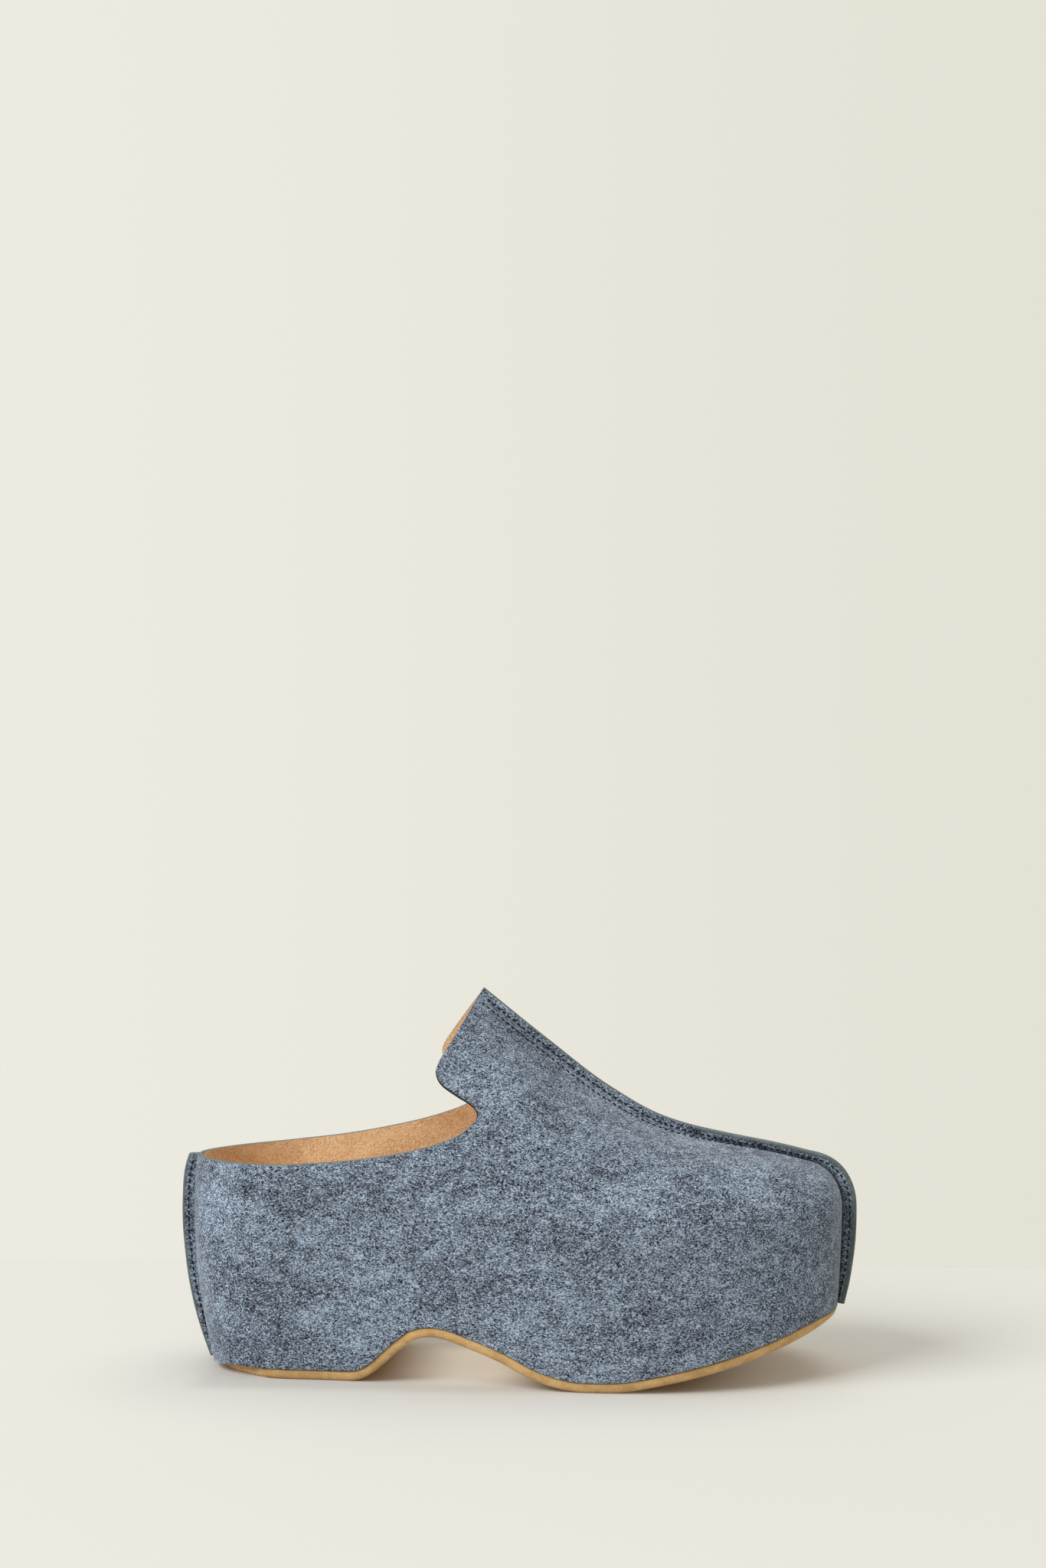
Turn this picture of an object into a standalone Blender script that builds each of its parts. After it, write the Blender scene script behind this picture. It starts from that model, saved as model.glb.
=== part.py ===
"""Platform clog for the right foot: felt upper, wrapped platform, insole and outsole.

Sizes are in millimetres, and MM turns them into metres where a mesh is made.
+X points to the toe, +Y to the inner side of the foot and +Z up. The floor is at Z = 0.
"""

import math
from collections import namedtuple

import bmesh
import bpy
import numpy as np

MM = 0.001

# Driving dimensions
BODY_LENGTH = 265.0
BALL_HALF_WIDTH = 48.0
FELT_WALL = 2.6
GAP = 0.3
SOLE_THICK = 3.9
SOLE_TIP_THICK = 1.2
INSOLE_THICK = 3.0
SEAM_THICK = 4.4
SEAM_FILLET = 2.0
SEAM_EDGE_ROUND = 0.7
HEEL_END, TOE_END = -BODY_LENGTH / 2, BODY_LENGTH / 2
SEAM_ROOT = SEAM_THICK / 2 + SEAM_FILLET

# Shape of the body: how far the wall narrows to the floor, and how the toe corner and edges are set back
SIDE_TAPER = 0.03
FULL_WIDTH_HEIGHT = 60.0
TOE_CORNER_DEPTH = 13.0
TOE_CORNER_POWER = 3
SEAM_GROOVE = 0.7 * FELT_WALL
SOLE_SKIVE_START = 112.0
SOLE_SIDE_INSET = 0.4
SOLE_HEEL_INSET = 3.4
SOLE_HEEL_INSET_START, SOLE_HEEL_INSET_END = -96.0, -112.0
HEEL_EDGE_DROP = 2.4
HEEL_EDGE_DROP_START = -114.0

# Cross sections: half widths to each side, height where the wall turns over, and shape of the roof
Section = namedtuple("Section", "x outer inner shoulder across upward")
SECTIONS = (
    Section(HEEL_END, 32.0, 32.0, 92.0, 2.0, 2.0),
    Section(-90.0, 32.5, 32.5, 88.0, 2.0, 2.0),
    Section(-50.0, 37.0, 35.0, 79.0, 1.6, 2.0),
    Section(-15.0, 43.0, 39.5, 70.0, 1.3, 2.0),
    Section(20.0, 47.0, 45.0, 64.0, 1.3, 2.0),
    Section(50.0, BALL_HALF_WIDTH, BALL_HALF_WIDTH, 60.0, 1.6, 2.1),
    Section(80.0, 46.0, BALL_HALF_WIDTH, 58.0, 2.2, 2.4),
    Section(112.0, 44.0, 47.0, 60.0, 2.7, 2.6),
    Section(TOE_END, 42.0, 46.0, 66.0, 2.5, 2.4),
)

# Root of the front seam along the instep and the vamp, seen from the side
Ridge = namedtuple("Ridge", "x z")
RIDGE = (
    Ridge(HEEL_END, 186.0),
    Ridge(-70.0, 184.0),
    Ridge(-45.0, 170.0),
    Ridge(-16.0, 146.9),
    Ridge(10.0, 126.2),
    Ridge(35.5, 107.4),
    Ridge(55.5, 96.9),
    Ridge(69.0, 92.8),
    Ridge(82.0, 90.3),
    Ridge(107.0, 85.4),
    Ridge(TOE_END, 79.3),
)

# Rounded ends of the plan: where each cap starts and how square it is
Cap = namedtuple("Cap", "start square")
HEEL_CAP = Cap(-90.0, 2.3)
TOE_CAP = {"outer": Cap(56.0, 2.1), "inner": Cap(72.0, 2.3)}

# Lean of the heel and toe ends, seen from the side
EndLine = namedtuple("EndLine", "z heel toe")
END_LINES = (
    EndLine(0.0, 8.7, 3.0),
    EndLine(10.0, 6.6, 2.6),
    EndLine(25.0, 3.5, 1.9),
    EndLine(42.0, 1.2, 0.7),
    EndLine(62.0, 0.0, 0.0),
    EndLine(76.0, 0.1, 0.0),
    EndLine(90.0, 1.3, 0.0),
)

# Underside of the sole: heel seat, breast, arch, rocker and toe spring
SoleLine = namedtuple("SoleLine", "x z")
SOLE_LINE = (
    SoleLine(HEEL_END, 0.0),
    SoleLine(-66.0, 0.0),
    SoleLine(-61.0, 0.9),
    SoleLine(-55.0, 4.2),
    SoleLine(-47.0, 11.4),
    SoleLine(-40.0, 17.3),
    SoleLine(-32.0, 19.4),
    SoleLine(-23.0, 17.6),
    SoleLine(-6.0, 11.4),
    SoleLine(8.0, 4.5),
    SoleLine(18.0, 1.4),
    SoleLine(26.0, 0.0),
    SoleLine(43.0, 0.0),
    SoleLine(55.0, 2.4),
    SoleLine(82.0, 8.1),
    SoleLine(108.0, 16.1),
    SoleLine(TOE_END, 25.4),
)

# Top of the platform under the foot
Footbed = namedtuple("Footbed", "x z")
FOOTBED = (
    Footbed(HEEL_END, 51.0),
    Footbed(-80.0, 50.0),
    Footbed(-30.0, 48.0),
    Footbed(10.0, 43.5),
    Footbed(45.0, 40.5),
    Footbed(85.0, 42.0),
    Footbed(TOE_END, 48.0),
)

# Raised seams: height and lean towards the outer side, by distance from their lower ends
Flange = namedtuple("Flange", "distance height lean_deg")
TOE_FLANGE = (
    Flange(0.0, 3.2, 26.0),
    Flange(10.0, 4.6, 27.0),
    Flange(28.0, 6.0, 27.0),
    Flange(40.0, 6.3, 24.0),
    Flange(52.0, 7.2, 19.0),
    Flange(66.0, 6.2, 15.0),
    Flange(90.0, 6.0, 11.0),
    Flange(120.0, 6.6, 3.0),
    Flange(150.0, 7.3, -2.0),
    Flange(190.0, 7.5, -2.0),
)
HEEL_FLANGE = (
    Flange(0.0, 2.8, 8.0),
    Flange(14.0, 4.6, 14.0),
    Flange(36.0, 5.7, 18.0),
    Flange(60.0, 6.2, 20.0),
    Flange(72.0, 5.9, 19.0),
    Flange(79.0, 5.2, 17.0),
    Flange(85.0, 4.0, 14.0),
    Flange(110.0, 3.0, 10.0),
)

# Topline seen from the side: collar, notch and tongue edge
Topline = namedtuple("Topline", "x z")
COLLAR = (
    Topline(-160.0, 85.2),
    Topline(-132.0, 85.2),
    Topline(-115.0, 85.4),
    Topline(-93.0, 86.2),
    Topline(-67.0, 88.9),
    Topline(-43.5, 93.3),
    Topline(-26.5, 98.5),
    Topline(-18.7, 103.0),
    Topline(-15.3, 107.6),
    Topline(-17.5, 111.4),
    Topline(-23.8, 115.3),
    Topline(-29.8, 119.6),
    Topline(-32.0, 124.4),
    Topline(-30.4, 129.0),
)
TONGUE_EDGE_END = Topline(-3.2, 170.0)
COLLAR_TILT_DEG, COLLAR_TURN_DEG = 1.8, 2.5
TOPLINE_STEPS = 4
CUT_HALF_WIDTH = 80.0
CUT_TOP = 230.0

# Columns of the panels from heel to toe
Span = namedtuple("Span", "start end steps ease")
SPANS = (
    Span(HEEL_END, -92.0, 9, "heel"),
    Span(-92.0, -72.2, 2, "even"),
    Span(-72.2, -24.0, 10, "even"),
    Span(-24.0, 24.4, 6, "even"),
    Span(24.4, 41.8, 2, "even"),
    Span(41.8, 56.0, 2, "even"),
    Span(56.0, TOE_END, 14, "toe"),
)
WALL_ROWS, ROOF_ROWS = 8, 10
PLATFORM_RINGS = 4
EDGE_PASSES = 6
SLOPE_STEP = 0.5
WELD = 0.01
SHARP_ANGLE_DEG = 35.0
SIDES = {"outer": -1.0, "inner": 1.0}

Finish = namedtuple("Finish", "colour roughness")
FINISHES = {
    "upper": Finish((0.16, 0.19, 0.235), 0.95),
    "platform": Finish((0.42, 0.30, 0.18), 0.80),
    "insole": Finish((0.60, 0.36, 0.17), 0.75),
    "outsole": Finish((0.50, 0.32, 0.13), 0.70),
}


def through(knots):
    """A smooth curve through (place, value) knots that doesn't overshoot them."""
    places = np.array([knot[0] for knot in knots], float)
    values = np.array([knot[1] for knot in knots], float)
    slopes = np.diff(values) / np.diff(places)
    tangents = np.concatenate([slopes[:1], np.zeros(len(slopes) - 1), slopes[-1:]])
    for i in range(1, len(slopes)):
        before, after = slopes[i - 1], slopes[i]
        if before * after > 0:
            tangents[i] = 2 * before * after / (before + after)

    def value(place):
        if place <= places[0]:
            return values[0] + tangents[0] * (place - places[0])
        if place >= places[-1]:
            return values[-1] + tangents[-1] * (place - places[-1])
        i = int(np.searchsorted(places, place, side="right")) - 1
        step = places[i + 1] - places[i]
        t = (place - places[i]) / step
        return (
            (1 + 2 * t) * (1 - t) ** 2 * values[i]
            + t * (1 - t) ** 2 * step * tangents[i]
            + t * t * (3 - 2 * t) * values[i + 1]
            - t * t * (1 - t) * step * tangents[i + 1]
        )

    return value


width = {side: through([(s.x, getattr(s, side)) for s in SECTIONS]) for side in SIDES}
shoulder = through([(s.x, s.shoulder) for s in SECTIONS])
roof_across = through([(s.x, s.across) for s in SECTIONS])
roof_upward = through([(s.x, s.upward) for s in SECTIONS])
ridge = through(RIDGE)
sole_bottom = through(SOLE_LINE)
footbed = through(FOOTBED)
heel_inset = through([(e.z, e.heel) for e in END_LINES])
toe_inset = through([(e.z, e.toe) for e in END_LINES])


def sole_top(x):
    """Top of the outsole sheet, equally thick square to its slope and skived at the toe tip."""
    slope = (sole_bottom(x + SLOPE_STEP) - sole_bottom(x - SLOPE_STEP)) / (2 * SLOPE_STEP)
    skived = max(0.0, (x - SOLE_SKIVE_START) / (TOE_END - SOLE_SKIVE_START))
    thick = SOLE_THICK + (SOLE_TIP_THICK - SOLE_THICK) * skived**2
    return sole_bottom(x) + thick * math.hypot(1.0, slope)


def stations():
    """Places along the length for the columns of the panels, closer together at the round ends."""
    places = [HEEL_END]
    for span in SPANS:
        for step in range(1, span.steps + 1):
            t = step / span.steps
            if span.ease == "heel":
                t = 1 - math.cos(t * math.pi / 2)
            elif span.ease == "toe":
                t = math.sin(t * math.pi / 2)
            places.append(span.start + t * (span.end - span.start))
    return places


def half_width(side, station):
    """Half width of the plan at its fullest height, with the rounded ends."""
    cap = TOE_CAP[side]
    full = width[side](station)
    if station < HEEL_CAP.start:
        t, square = (HEEL_CAP.start - station) / (HEEL_CAP.start - HEEL_END), HEEL_CAP.square
    elif station > cap.start:
        t, square = (station - cap.start) / (TOE_END - cap.start), cap.square
    else:
        return full
    return SEAM_ROOT + (full - SEAM_ROOT) * max(0.0, 1 - t**square) ** (1 / square)


def wall_point(side, station, z):
    """Point of the upright outer wall at a height."""
    share = (station - HEEL_END) / BODY_LENGTH
    heel, toe = HEEL_END + heel_inset(z), TOE_END - toe_inset(z)
    taper = SIDE_TAPER * (max(0.0, FULL_WIDTH_HEIGHT - z) / FULL_WIDTH_HEIGHT) ** 2
    half = SEAM_ROOT + (half_width(side, station) - SEAM_ROOT) * (1 - taper)
    return np.array([heel + share * (toe - heel), SIDES[side] * half, z])


def felt_edge(side, station):
    """Lower edge of the felt, just above the outsole and a little lower round the heel."""
    z = 0.0
    for _ in range(EDGE_PASSES):
        x = wall_point(side, station, z)[0]
        drop = max(0.0, (HEEL_EDGE_DROP_START - x) / (HEEL_EDGE_DROP_START - HEEL_END))
        z = sole_top(x) + GAP - HEEL_EDGE_DROP * math.sin(drop * math.pi / 2)
    return z


def panel_column(side, station):
    """Points up one column of a panel, from the felt's lower edge to the root of the front seam."""
    turn = shoulder(station)
    low = felt_edge(side, station)
    points = [wall_point(side, station, low + (turn - low) * i / WALL_ROWS) for i in range(WALL_ROWS)]
    base = wall_point(side, station, turn)
    cap = TOE_CAP[side]
    pulled = max(0.0, (station - cap.start) / (TOE_END - cap.start))
    crest_x = base[0] - TOE_CORNER_DEPTH * pulled**TOE_CORNER_POWER
    across, upward = roof_across(station), roof_upward(station)
    for i in range(ROOF_ROWS + 1):
        angle = math.pi / 2 * i / ROOF_ROWS
        out = max(0.0, math.cos(angle)) ** (2 / across)
        up = math.sin(angle) ** (2 / upward)
        x = base[0] + (crest_x - base[0]) * (1 - out)
        half = SEAM_ROOT + (abs(base[1]) - SEAM_ROOT) * out
        points.append(np.array([x, SIDES[side] * half, turn + (ridge(x) - turn) * up]))
    return points


def grid_normals(grid):
    """Outward unit normal at each point of a panel's grid."""
    faces = np.cross(grid[1:, 1:] - grid[:-1, :-1], grid[:-1, 1:] - grid[1:, :-1])
    normals = np.zeros_like(grid)
    for across in (slice(None, -1), slice(1, None)):
        for up in (slice(None, -1), slice(1, None)):
            normals[across, up] += faces
    normals /= np.linalg.norm(normals, axis=2, keepdims=True)
    return normals if normals[len(grid) // 2, 2, 1] * grid[len(grid) // 2, 2, 1] > 0 else -normals


def seam_path(columns, rows):
    """Grid indices along the seams: up the toe, back along the instep and down the heel."""
    up_toe = [(columns - 1, row) for row in range(rows)]
    back = [(column, rows - 1) for column in range(columns - 2, -1, -1)]
    down_heel = [(0, row) for row in range(rows - 2, -1, -1)]
    return up_toe + back + down_heel


def seam_profile(spine):
    """Height, lean and outward direction of the raised seam at each point of its root."""
    steps = np.linalg.norm(np.diff(spine, axis=0), axis=1)
    from_toe = np.concatenate([[0.0], np.cumsum(steps)])
    from_heel = from_toe[-1] - from_toe
    tangents = np.gradient(spine, axis=0)
    outward = np.stack([tangents[:, 1], -tangents[:, 0]], axis=1)
    outward /= np.linalg.norm(outward, axis=1, keepdims=True)

    def along(key):
        front = through([(row.distance, getattr(row, key)) for row in TOE_FLANGE])
        heel = through([(row.distance, getattr(row, key)) for row in HEEL_FLANGE])
        front_end, heel_end = TOE_FLANGE[-1].distance, HEEL_FLANGE[-1].distance
        pairs = zip(from_toe, from_heel)
        return np.array([heel(b) if b < heel_end else front(min(a, front_end)) for a, b in pairs])

    return along("height"), np.tan(np.radians(along("lean_deg"))), outward


def flange_rows(height):
    """Half thickness and height of the raised seam's points, from its root to its edge."""
    half = SEAM_THICK / 2
    hollow = SEAM_FILLET * (1 - math.sqrt(0.5))
    return (
        (half + hollow, hollow),
        (half, min(SEAM_FILLET, height / 2)),
        (half, height - SEAM_EDGE_ROUND),
        (half - SEAM_EDGE_ROUND, height),
    )


def finish_material(name):
    finish = FINISHES[name]
    material = bpy.data.materials.new(name)
    material.use_nodes = True
    shader = material.node_tree.nodes["Principled BSDF"]
    shader.inputs["Base Color"].default_value = (*finish.colour, 1.0)
    shader.inputs["Roughness"].default_value = finish.roughness
    shader.inputs["Metallic"].default_value = 0.0
    return material


def add_object(name, bm, collection):
    """Turns a mesh in millimetres into a named object in metres."""
    bmesh.ops.scale(bm, vec=(MM, MM, MM), verts=bm.verts)
    bmesh.ops.recalc_face_normals(bm, faces=bm.faces)
    mesh = bpy.data.meshes.new(name)
    bm.to_mesh(mesh)
    bm.free()
    obj = bpy.data.objects.new(name, mesh)
    collection.objects.link(obj)
    return obj


def add_upper(collection, cutters):
    places = stations()
    bm = bmesh.new()
    outer, inner = {}, {}
    grids = {side: np.array([panel_column(side, place) for place in places]) for side in SIDES}
    for side, grid in grids.items():
        lining = grid - FELT_WALL * grid_normals(grid)
        outer[side] = [[bm.verts.new(point) for point in column] for column in grid]
        inner[side] = [[bm.verts.new(point) for point in column] for column in lining]
    columns, rows = grids["outer"].shape[:2]

    for skin in (outer, inner):
        for grid in skin.values():
            for i in range(columns - 1):
                for j in range(rows - 1):
                    bm.faces.new((grid[i][j], grid[i + 1][j], grid[i + 1][j + 1], grid[i][j + 1]))
    for side in SIDES:
        for i in range(columns - 1):
            bm.faces.new((outer[side][i][0], outer[side][i + 1][0], inner[side][i + 1][0], inner[side][i][0]))

    path = seam_path(columns, rows)
    spine = np.array([grids["outer"][i, j][[0, 2]] for i, j in path])
    heights, leans, outward = seam_profile(spine)
    middle = []
    flange = {side: [] for side in SIDES}
    for k, (i, j) in enumerate(path):
        x, z = spine[k] - SEAM_GROOVE * outward[k]
        middle.append(bm.verts.new((x, 0.0, z)))
        for side, sign in SIDES.items():
            line = [outer[side][i][j]]
            for half, high in flange_rows(heights[k]):
                x, z = spine[k] + high * outward[k]
                line.append(bm.verts.new((x, sign * half - high * leans[k], z)))
            flange[side].append(line)

    last = len(flange["outer"][0]) - 1
    for k in range(len(path) - 1):
        for side in SIDES:
            here, there = flange[side][k], flange[side][k + 1]
            for m in range(last):
                bm.faces.new((here[m], there[m], there[m + 1], here[m + 1]))
            (i, j), (p, q) = path[k], path[k + 1]
            bm.faces.new((inner[side][i][j], inner[side][p][q], middle[k + 1], middle[k]))
        a, b = flange["outer"], flange["inner"]
        bm.faces.new((a[k][last], a[k + 1][last], b[k + 1][last], b[k][last]))
    for k in (0, -1):
        a, b = flange["outer"][k], flange["inner"][k]
        i, j = path[k]
        for m in range(last):
            bm.faces.new((a[m], a[m + 1], b[m + 1], b[m]))
        bm.faces.new((a[0], b[0], inner["inner"][i][j], middle[k], inner["outer"][i][j]))

    upper = add_object("upper", bm, collection)
    cut = upper.modifiers.new("topline", "BOOLEAN")
    cut.operation = "DIFFERENCE"
    cut.object = add_topline_cutter(cutters)
    return upper


def add_topline_cutter(cutters):
    """The space over the collar and behind the tongue, as a slab across the shoe."""
    knots = np.array(COLLAR)
    points = []
    for i in range(len(knots) - 1):
        ends = knots[max(i - 1, 0)], knots[i], knots[i + 1], knots[min(i + 2, len(knots) - 1)]
        for step in range(TOPLINE_STEPS):
            t = step / TOPLINE_STEPS
            into, out = (ends[2] - ends[0]) / 2, (ends[3] - ends[1]) / 2
            points.append(
                (1 + 2 * t) * (1 - t) ** 2 * ends[1]
                + t * (1 - t) ** 2 * into
                + t * t * (3 - 2 * t) * ends[2]
                - t * t * (1 - t) * out
            )
    points += [knots[-1], np.array(TONGUE_EDGE_END)]
    points += [np.array((TONGUE_EDGE_END.x, CUT_TOP)), np.array((knots[0][0], CUT_TOP))]

    curve = bpy.data.curves.new("topline_cutter", "CURVE")
    curve.dimensions = "2D"
    curve.fill_mode = "BOTH"
    curve.extrude = CUT_HALF_WIDTH * MM
    spline = curve.splines.new("POLY")
    spline.points.add(len(points) - 1)
    for point, (x, z) in zip(spline.points, points):
        point.co = (x * MM, z * MM, 0.0, 1.0)
    spline.use_cyclic_u = True
    outline = bpy.data.objects.new("topline_outline", curve)
    outline.rotation_euler.x = math.pi / 2 + math.radians(COLLAR_TILT_DEG)
    outline.rotation_euler.z = math.radians(COLLAR_TURN_DEG)
    cutters.objects.link(outline)
    bpy.context.view_layer.update()

    mesh = bpy.data.meshes.new_from_object(outline.evaluated_get(bpy.context.evaluated_depsgraph_get()))
    bm = bmesh.new()
    bm.from_mesh(mesh)
    bmesh.ops.remove_doubles(bm, verts=bm.verts, dist=WELD * MM)
    bmesh.ops.recalc_face_normals(bm, faces=bm.faces)
    bm.to_mesh(mesh)
    bm.free()
    cutter = bpy.data.objects.new("topline_cutter", mesh)
    cutter.matrix_world = outline.matrix_world
    cutters.objects.link(cutter)
    cutter.hide_render = True
    cutter.display_type = "WIRE"
    bpy.data.objects.remove(outline)
    return cutter


def inset_ring(height_at, inset_at):
    """Closed plan outline at heights given by place, moved inwards square to itself."""
    places = stations()
    ring = [wall_point("outer", place, height_at(place)) for place in places]
    ring += [wall_point("inner", place, height_at(place)) for place in reversed(places)]
    ring = np.array(ring)
    along = np.roll(ring, -1, axis=0) - np.roll(ring, 1, axis=0)
    inward = np.stack([-along[:, 1], along[:, 0]], axis=1)
    inward /= np.linalg.norm(inward, axis=1, keepdims=True)
    insets = np.array([inset_at(x) for x in ring[:, 0]])
    ring[:, :2] += inward * insets[:, None]
    ring[:, 2] = [height_at(x) for x in ring[:, 0]]
    return ring


def add_loft(name, rings, collection):
    """Solid between closed rings of equal length, capped across from side to side."""
    bm = bmesh.new()
    layers = [[bm.verts.new(point) for point in ring] for ring in rings]
    count = len(layers[0])
    for low, high in zip(layers, layers[1:]):
        for i in range(count):
            j = (i + 1) % count
            bm.faces.new((low[i], low[j], high[j], high[i]))
    for layer in (layers[0], layers[-1]):
        for i in range(count // 2 - 1):
            bm.faces.new((layer[i], layer[i + 1], layer[count - 2 - i], layer[count - 1 - i]))
    return add_object(name, bm, collection)


def add_platform(collection):
    def height(share):
        return lambda x: (1 - share) * (sole_top(x) + GAP) + share * footbed(x)

    def inset(x):
        return FELT_WALL + GAP

    shares = [i / PLATFORM_RINGS for i in range(PLATFORM_RINGS + 1)]
    return add_loft("platform", [inset_ring(height(share), inset) for share in shares], collection)


def add_insole(collection):
    rings = []
    for lift in (GAP, GAP + INSOLE_THICK):
        rings.append(inset_ring(lambda x: footbed(x) + lift, lambda x: FELT_WALL + GAP))
    return add_loft("insole", rings, collection)


def add_outsole(collection):
    def inset(x):
        back = (SOLE_HEEL_INSET_START - x) / (SOLE_HEEL_INSET_START - SOLE_HEEL_INSET_END)
        back = min(max(back, 0.0), 1.0)
        return SOLE_SIDE_INSET + SOLE_HEEL_INSET * back * back * (3 - 2 * back)

    return add_loft("outsole", [inset_ring(line, inset) for line in (sole_bottom, sole_top)], collection)


def build():
    for obj in list(bpy.data.objects):
        bpy.data.objects.remove(obj)
    clog = bpy.data.collections.new("platform_clog")
    cutters = bpy.data.collections.new("cutters")
    for collection in (clog, cutters):
        bpy.context.scene.collection.children.link(collection)
    pieces = [add_upper(clog, cutters), add_platform(clog), add_insole(clog), add_outsole(clog)]
    for piece in pieces:
        piece.data.materials.append(finish_material(piece.name))
        piece.data.shade_smooth()
        piece.data.set_sharp_from_angle(angle=math.radians(SHARP_ANGLE_DEG))


build()
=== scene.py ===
"""Looks of the felt platform clog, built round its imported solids.

Tables are in millimetres. Meshes, floor, lamps and camera are in metres.
"""

import math
import random
from collections import namedtuple

import bpy
import numpy as np
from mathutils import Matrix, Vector


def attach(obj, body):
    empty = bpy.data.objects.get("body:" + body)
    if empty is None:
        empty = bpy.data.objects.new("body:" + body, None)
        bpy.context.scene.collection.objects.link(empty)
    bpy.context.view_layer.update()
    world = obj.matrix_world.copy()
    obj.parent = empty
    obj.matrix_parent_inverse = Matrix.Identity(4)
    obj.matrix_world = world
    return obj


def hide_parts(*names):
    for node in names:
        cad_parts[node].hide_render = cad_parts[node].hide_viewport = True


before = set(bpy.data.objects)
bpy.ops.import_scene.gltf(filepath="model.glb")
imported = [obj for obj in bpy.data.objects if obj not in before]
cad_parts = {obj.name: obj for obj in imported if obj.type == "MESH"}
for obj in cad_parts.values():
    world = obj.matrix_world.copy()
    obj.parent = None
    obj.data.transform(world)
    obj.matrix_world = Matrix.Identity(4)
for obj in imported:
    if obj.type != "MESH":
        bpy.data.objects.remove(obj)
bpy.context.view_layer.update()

# Platform: the shaped block that the felt is wrapped round. It is pressed cork, glued up before the felt is
# pulled over it, and nothing of it shows on the finished shoe.
MM = 0.001
UNSTRETCHED, UNTURNED = (1.0, 1.0, 1.0), (0.0, 0.0, 0.0)
# A grain is noise with a size in mm, and a surface has the two ends of its roughness and a bump in mm.
Grain = namedtuple(
    "Grain", "size detail roughness distortion stretch turn_deg", defaults=(0.0, UNSTRETCHED, UNTURNED)
)
Surface = namedtuple("Surface", "smooth rough bump bump_strength")
NOISE_SPAN = (0.3, 0.7)
CORK_LIGHT = (0.42, 0.27, 0.14, 1.0)
CORK_DARK = (0.16, 0.085, 0.04, 1.0)
CRUMBS = Grain(3.0, 3.0, 0.6)
CRUMB_SPAN = (0.4, 0.62)
CORK_SURFACE = Surface(0.75, 0.95, 0.4, 1.0)


class Wire:
    """An output socket of a node tree. Sums and products of wires and numbers become Math nodes."""

    def __init__(self, tree, socket=None):
        self.tree = tree
        self.socket = socket

    def node(self, kind, settings, inputs, output=0):
        """Adds a node: its settings first, then the values or wires of its inputs."""
        made = self.tree.nodes.new(kind)
        for name, value in settings.items():
            setattr(made, name, value)
        for key, value in inputs.items():
            if isinstance(value, Wire):
                self.tree.links.new(value.socket, made.inputs[key])
            else:
                made.inputs[key].default_value = value
        return Wire(self.tree, made.outputs[output])

    def math(self, operation, first, second=0.0):
        """A Math node on wires or numbers."""
        return self.node("ShaderNodeMath", {"operation": operation}, {0: first, 1: second})

    def __add__(self, other):
        return self.math("ADD", self, other)

    def __sub__(self, other):
        return self.math("SUBTRACT", self, other)

    def __rsub__(self, other):
        return self.math("SUBTRACT", other, self)

    def __mul__(self, other):
        return self.math("MULTIPLY", self, other)

    __radd__ = __add__
    __rmul__ = __mul__

    def object_place(self, stretch, turn_deg):
        """Object coordinates, turned and stretched."""
        place = self.node("ShaderNodeTexCoord", {}, {}, "Object")
        turn = tuple(math.radians(angle) for angle in turn_deg)
        return self.node("ShaderNodeMapping", {}, {"Vector": place, "Rotation": turn, "Scale": stretch})

    def part(self, vector, axis):
        """A vector's part along one axis."""
        return self.node("ShaderNodeSeparateXYZ", {}, {0: vector}, axis)

    def noise(self, grain):
        """Noise on object coordinates, with grains of about the given size."""
        values = {"Vector": self.object_place(grain.stretch, grain.turn_deg), "Scale": 1 / MM / grain.size}
        values |= {"Detail": grain.detail, "Roughness": grain.roughness, "Distortion": grain.distortion}
        return self.node("ShaderNodeTexNoise", {}, values, "Fac")

    def between(self, value, span, spread=(0.0, 1.0)):
        """The value's stretch over a span, eased and spread over another range."""
        values = {"Value": value, "From Min": span[0], "From Max": span[1]}
        values |= {"To Min": spread[0], "To Max": spread[1]}
        return self.node("ShaderNodeMapRange", {"interpolation_type": "SMOOTHSTEP"}, values)

    def blend(self, share, first, second):
        """A colour between two colours."""
        settings = {"data_type": "RGBA", "clamp_factor": True}
        return self.node("ShaderNodeMix", settings, {0: share, 6: first, 7: second}, 2)


def new_finish(name, constants):
    """A material with its shader's constant values set, and an empty wire to hang its nodes on."""
    material = bpy.data.materials.new(name)
    material.use_nodes = True
    shader = material.node_tree.nodes["Principled BSDF"]
    for key, value in constants.items():
        shader.inputs[key].default_value = value
    return material, Wire(material.node_tree), shader


def set_look(wire, shader, colour, grain, height, surface):
    """Wires a colour, a roughness that follows a grain, and a bump of the given height to the shader."""
    roughness = wire.between(grain, NOISE_SPAN, (surface.smooth, surface.rough))
    values = {"Height": height, "Strength": surface.bump_strength, "Distance": surface.bump * MM}
    normal = wire.node("ShaderNodeBump", {}, values, "Normal")
    wire.tree.links.new(colour.socket, shader.inputs["Base Color"])
    wire.tree.links.new(roughness.socket, shader.inputs["Roughness"])
    wire.tree.links.new(normal.socket, shader.inputs["Normal"])


cork, wire, shader = new_finish("pressed_cork", {"Specular IOR Level": 0.2})
crumbs = wire.noise(CRUMBS)
colour = wire.blend(wire.between(crumbs, CRUMB_SPAN), CORK_DARK, CORK_LIGHT)
set_look(wire, shader, colour, crumbs, crumbs, CORK_SURFACE)
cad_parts["platform"].data.materials.clear()
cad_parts["platform"].data.materials.append(cork)

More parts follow.
